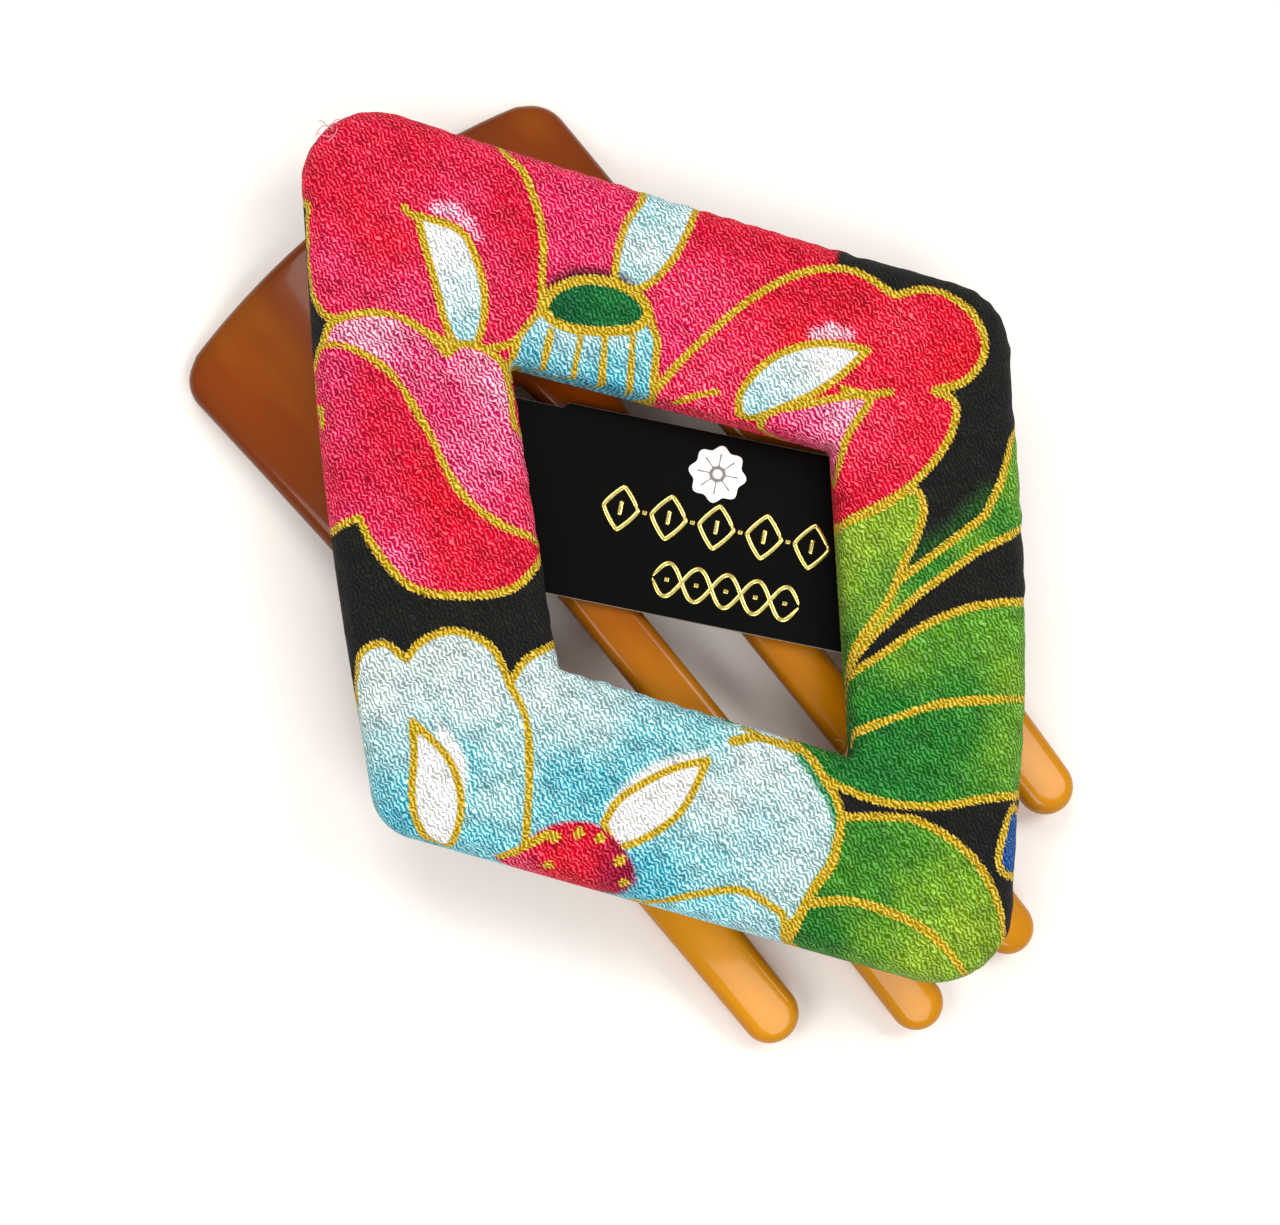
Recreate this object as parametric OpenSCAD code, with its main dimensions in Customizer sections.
// Decorative hair comb: a curved four-tooth comb carries an open diamond-shaped frame covered in
// padded printed silk crepe. A card is slipped between the frame and the teeth.
// The part lies on its comb as on a table: Z is up, Y runs from the tooth tips to the comb's top
// edge, and the origin is under the middle of the whole ornament, at table height. The frame, the
// comb and the card are laid out from the point where the diamond's diagonals cross.

/* [Frame] */
// Distance from the crossing of the diamond's diagonals to its top corner, before it is rounded
corner_up = 55.8; // [46:0.1:66]
// Distance from the crossing to the bottom corner
corner_down = 47.9; // [40:0.1:58]
// Distance from the crossing to the left corner, across
corner_left = 34.5; // [30:0.1:42]
// Distance from the crossing to the right corner, across
corner_right = 39.1; // [33:0.1:47]
// How far the right corner lies above the crossing, and the left corner below it
corner_skew = 1.4; // [-3:0.1:3]
// Radius of the diamond's outer corners
corner_r = 6.2; // [4:0.1:9]
// Distance from the crossing to the opening's top corner
opening_up = 23.8; // [19:0.1:28]
// Distance from the crossing to the opening's bottom corner
opening_down = 22.1; // [18:0.1:26]
// Distance from the crossing to the opening's left corner
opening_left = 13.5; // [11:0.1:16]
// Distance from the crossing to the opening's right corner
opening_right = 18; // [15:0.1:21]
// How far the opening's bottom corner lies to the right of its top corner
opening_lean = 2.2; // [-2:0.1:4]
// Radius of the opening's corners
opening_r = 1.2; // [0.8:0.1:2.5]

/* [Frame layers] */
// Thickness of the stiff board
core_t = 1.8; // [1:0.1:3]
// Thickness of the foam on the board
pad_t = 2; // [1:0.1:4]
// Thickness of the crepe
cover_t = 0.4; // [0.3:0.05:0.8]
// Width of crepe turned in on the back
hem_w = 6; // [4:0.5:7]
// Thickness of the felt on the back
lining_t = 0.8; // [0.5:0.1:1.5]
// Distance from the frame's edges to the felt's edges
lining_inset = 1; // [0.5:0.1:2]

/* [Comb] */
// Length from the top edge to the longest tips
comb_len = 90.7; // [76:0.1:98]
// Thickness of the comb
comb_t = 2.4; // [1.8:0.1:3.2]
// Number of teeth
tooth_count = 4; // [4:2:6]
// Distance from one tooth's middle to the next
tooth_pitch = 10.7; // [9:0.1:13]
// Width of a tooth at its tip
tooth_w = 4.9; // [3.9:0.1:6]
// Depth from the top edge to the ends of the gaps
root_depth = 22; // [19:0.5:30]
// Radius of the end of a gap
root_r = 1.9; // [1:0.1:2]
// Length over which a gap widens from its end
root_flare = 8; // [4:0.5:14]
// How much shorter the outer teeth are
tip_drop = 7.4; // [0:0.1:12]
// How much wider the plate is than the teeth, each side
side_flare = 2.7; // [0:0.1:4]
// Radius of the curved top edge
top_r = 75; // [36:1:100]
// Radius of the plate's corners
shoulder_r = 3.5; // [2:0.1:6]
// Radius of the comb's curve along its length
long_arch_r = 200; // [150:5:500]
// Radius of the comb's curve across its width
cross_arch_r = 90; // [60:5:180]

/* [Card] */
// Length of the card
card_len = 47; // [36:0.5:50]
// Width of the card
card_w = 17.2; // [10:0.2:18]
// Thickness of the card
card_t = 0.4; // [0.2:0.05:0.8]
// Length of the narrower tongue at the card's inner end
tongue_len = 9.4; // [4:0.1:14]
// How far the tongue's edge is cut back
tongue_step = 0.5; // [0.2:0.1:2]
// Free space above the card, and below it
card_clear = 0.15; // [0.1:0.05:0.5]

/* [Placing] */
// How far the comb sits off the crossing of the diagonals, across the frame
comb_shift_x = -0.8; // [-6:0.1:6]
// Distance from the crossing of the diagonals to the comb's top edge
comb_top_y = 45.6; // [40:0.1:47]
// Turn of the comb on the frame's back, in degrees
comb_turn = 1.4; // [-2:0.1:3]
// Distance from the comb's top edge to the crown of its long curve
crown_depth = 44; // [38:0.1:48]
// Width of the adhesive bed
bed_w = 13; // [8:0.5:14]
// Length of the adhesive bed
bed_len = 12; // [8:0.5:13]
// Distance from the comb's top edge to the adhesive bed
bed_inset = 4.4; // [4:0.1:6]
// Distance from the crossing to the card's middle, across the frame
card_x = 5.3; // [2:0.1:8]
// Distance from the crossing to the card's middle, along the frame
card_y = 2; // [-2:0.1:5]
// Direction of the card's length on the frame, in degrees
card_turn = -49; // [-54:0.5:-46]

/* [Hidden] */
$fn = 96;

// Reach beyond a cut, so that no two faces of a cut coincide
over = 1;
// Least radius of an outline's corner once its edges are moved in
least_r = 0.5;

// Points of an arc about a centre, from one angle to another, both ends included
function arc(mid, r, from, to, steps = 16) = [for (k = [0 : steps])
    let (a = from + (to - from) * k / steps) mid + r * [cos(a), sin(a)]];

// Points of a closed outline with round corners, with every edge moved out by grow. The corners
// are given anticlockwise. from and to are the angles of the normals of a corner's two edges.
function rounded(corners, r, grow = 0) = [for (i = [0 : len(corners) - 1]) each
    let (last = corners[(i + len(corners) - 1) % len(corners)])
    let (next = corners[(i + 1) % len(corners)])
    let (from = atan2(corners[i].y - last.y, corners[i].x - last.x) - 90)
    let (ahead = atan2(next.y - corners[i].y, next.x - corners[i].x) - 90)
    let (to = ahead < from ? ahead + 360 : ahead)
    let (round_r = max(r + grow, least_r))
    let (inward = -[cos((from + to) / 2), sin((from + to) / 2)])
    arc(corners[i] + inward * (round_r - grow) / cos((to - from) / 2), round_r, from, to)];

// Corners of the frame and of its opening, anticlockwise from the right
frame_corners = [[corner_right, corner_skew], [0, corner_up], [-corner_left, -corner_skew], [0, -corner_down]];
opening_corners = [[opening_right, 0], [0, opening_up], [-opening_left, 0], [opening_lean, -opening_down]];

// Comb outline: x runs across the comb and y is 0 at the middle of its top edge, falling to the tips
tip_w = (tooth_count - 1) * tooth_pitch + tooth_w;
plate_w = tip_w + 2 * side_flare;
side_slope = side_flare / comb_len;
slope_len = sqrt(1 + side_slope * side_slope);
gap_w = tooth_pitch - tooth_w;
last_tooth = tooth_count - 1;
mid_tooth = last_tooth / 2;

// Half the comb's width at a depth below its top edge
function half_w(depth) = plate_w / 2 - side_slope * depth;
// Middle of a tooth, and depth of its tip
function tooth_x(i) = (i - mid_tooth) * tooth_pitch;
function tip_depth(i) = comb_len - tip_drop * pow((abs(i - mid_tooth) - 0.5) / (mid_tooth - 0.5), 2);
// Inner and outer edge of a tooth at its tip, where the outer tooth follows the comb's side
function tooth_left(i, depth) = i == 0 ? -half_w(depth) : tooth_x(i) - tooth_w / 2;
function tooth_right(i, depth) = i == last_tooth ? half_w(depth) : tooth_x(i) + tooth_w / 2;
// Radius and middle of a tooth's round tip, which touches both of its edges
function is_outer(i) = i == 0 || i == last_tooth;
function tip_r(i) = is_outer(i)
    ? (tooth_right(i, tip_depth(i)) - tooth_left(i, tip_depth(i))) / (1 + slope_len - side_slope)
    : tooth_w / 2;
function tip_mid(i) = [i == 0 ? tooth_right(i, 0) - tip_r(i) : tooth_left(i, 0) + tip_r(i),
                       tip_r(i) - tip_depth(i)];

// Centre of a corner circle: it touches the top arc from inside, and the comb's side
shoulder_span = plate_w / 2 - shoulder_r * slope_len;
shoulder_a = 1 + side_slope * side_slope;
shoulder_b = -2 * (top_r + side_slope * shoulder_span);
shoulder_c = top_r * top_r + shoulder_span * shoulder_span - pow(top_r - shoulder_r, 2);
shoulder_y = (-shoulder_b - sqrt(shoulder_b * shoulder_b - 4 * shoulder_a * shoulder_c)) / (2 * shoulder_a);
shoulder_x = shoulder_span - side_slope * shoulder_y;
// Half the angle of the top arc between the corners, and the turn of the comb's sides
top_turn = asin(shoulder_x / (top_r - shoulder_r));
side_turn = atan(side_slope);

// The right edge of a tooth, the round end of the gap beside it, and the next tooth's left edge
function gap_points(i) = concat(
    [[tooth_right(i, 0), -root_depth - root_r - root_flare]],
    arc([tooth_x(i) + tooth_pitch / 2, -root_depth - root_r], root_r, 180, 0, 12),
    [[tooth_left(i + 1, 0), -root_depth - root_r - root_flare]]
);

// The comb's outline: top arc, left corner, teeth and gaps from left to right, right corner
comb_points = concat(
    arc([0, -top_r], top_r, 90 - top_turn, 90 + top_turn),
    arc([-shoulder_x, -shoulder_y], shoulder_r, 90 + top_turn, 180 + side_turn, 8),
    [for (i = [0 : last_tooth]) each concat(
        arc(tip_mid(i), tip_r(i), 180 + (i == 0 ? side_turn : 0), 360 - (i == last_tooth ? side_turn : 0), 12),
        i < last_tooth ? gap_points(i) : []
    )],
    arc([shoulder_x, -shoulder_y], shoulder_r, -side_turn, 90 - top_turn, 8)
);

// Height of the comb's faces over the crown of its middle surface: side is 1 above and -1 below
function arch_z(x, y, side) =
    sqrt(pow(long_arch_r - cross_arch_r + sqrt(pow(cross_arch_r + side * comb_t / 2, 2) - x * x), 2)
         - pow(y + crown_depth, 2)) - long_arch_r;

// The comb stands on its corners and tips: its lowest point sets the height of everything above
crown_z = -min([for (p = comb_points) arch_z(p.x, p.y, -1)]);

// The comb's outline on the frame, and the middle of the whole ornament
function on_frame(p) = [comb_shift_x, 0] + [p.x * cos(comb_turn) - (p.y + comb_top_y) * sin(comb_turn),
                                            p.x * sin(comb_turn) + (p.y + comb_top_y) * cos(comb_turn)];
reach = concat(rounded(frame_corners, corner_r), [for (p = comb_points) on_frame(p)]);
reach_x = [for (p = reach) p.x];
reach_y = [for (p = reach) p.y];
middle = [(min(reach_x) + max(reach_x)) / 2, (min(reach_y) + max(reach_y)) / 2];

// Heights of the layers, from the comb's crown up
card_z = crown_z + comb_t / 2 + card_clear;
lining_z = card_z + card_t + card_clear;
hem_z = lining_z + lining_t;
core_z = hem_z + cover_t;
pad_z = core_z + core_t;
top_z = pad_z + pad_t + cover_t;

module outer_diamond(grow) {
    polygon(rounded(frame_corners, corner_r, grow));
}

module opening_diamond(grow) {
    polygon(rounded(opening_corners, opening_r, grow));
}

// The frame's open shape, with every edge moved in by inset
module frame_ring(inset) {
    difference() {
        outer_diamond(-inset);
        opening_diamond(inset);
    }
}

module layer(z, t, inset) {
    translate([-middle.x, -middle.y, z]) linear_extrude(t) frame_ring(inset);
}

module comb_plan() {
    polygon(comb_points);
}

// A ring sector about the comb's long curve, whose section is a slab curved across the comb.
// inner and outer are the distances of its faces from the comb's middle surface.
module arch_slab(inner, outer) {
    sweep = 2 * asin((comb_len + 4 * over) / 2 / (long_arch_r - comb_t)) + 4;
    reach = plate_w / 2 + 2 * over;
    rotate([0, -90, 0]) rotate([0, 0, -sweep / 2])
        rotate_extrude(angle = sweep, $fn = 256) intersection() {
            translate([long_arch_r - cross_arch_r, 0]) difference() {
                circle(cross_arch_r + outer, $fn = 256);
                circle(cross_arch_r + inner, $fn = 256);
            }
            translate([long_arch_r - cross_arch_r / 2, -reach]) square([cross_arch_r, 2 * reach]);
        }
}

// Puts what is drawn in the comb's own frame on the frame's back
module at_comb() {
    translate([comb_shift_x - middle.x, -middle.y, crown_z])
        rotate([0, 0, comb_turn])
            translate([0, comb_top_y, 0]) children();
}

module comb() {
    color("#c8791c") at_comb() intersection() {
        translate([0, 0, -comb_len / 4]) linear_extrude(comb_len / 2) comb_plan();
        translate([0, -crown_depth, -long_arch_r]) arch_slab(-comb_t / 2, comb_t / 2);
    }
}

// Hot-melt adhesive between the plate's curved face and the felt
module adhesive_bed() {
    round_r = 3;
    color("#e6dcc4") at_comb() difference() {
        translate([0, -bed_inset - bed_len / 2, -crown_z]) linear_extrude(lining_z) {
            square([bed_w, bed_len - 2 * round_r], center = true);
            square([bed_w - 2 * round_r, bed_len], center = true);
            for (sx = [-1, 1], sy = [-1, 1])
                translate([sx * (bed_w / 2 - round_r), sy * (bed_len / 2 - round_r)]) circle(round_r);
        }
        translate([0, -crown_depth, -long_arch_r]) arch_slab(-cross_arch_r / 4, comb_t / 2);
    }
}

module back_lining() {
    color("#1c1a1b") layer(lining_z, lining_t, lining_inset);
}

module frame_core() {
    color("#b9a98b") layer(core_z, core_t, cover_t);
}

module padding() {
    color("#efece4") layer(pad_z, pad_t, cover_t);
}

// One piece of crepe: it covers the front, wraps both edges, and is turned in on the back
module fabric_cover() {
    color("#c8283f") difference() {
        layer(hem_z, top_z - hem_z, 0);
        layer(core_z, core_t + pad_t, cover_t);
        layer(hem_z - over, cover_t + 2 * over, hem_w);
    }
}

// Printed card with a narrower tongue at its inner end
module display_card() {
    color("#161616") translate([card_x - middle.x, card_y - middle.y, card_z]) rotate([0, 0, card_turn])
        linear_extrude(card_t) polygon([
            [-card_len / 2, -card_w / 2], [card_len / 2, -card_w / 2],
            [card_len / 2, card_w / 2], [-card_len / 2 + tongue_len, card_w / 2],
            [-card_len / 2 + tongue_len - tongue_step, card_w / 2 - tongue_step],
            [-card_len / 2, card_w / 2 - tongue_step],
        ]);
}

comb();
adhesive_bed();
back_lining();
frame_core();
padding();
fabric_cover();
display_card();
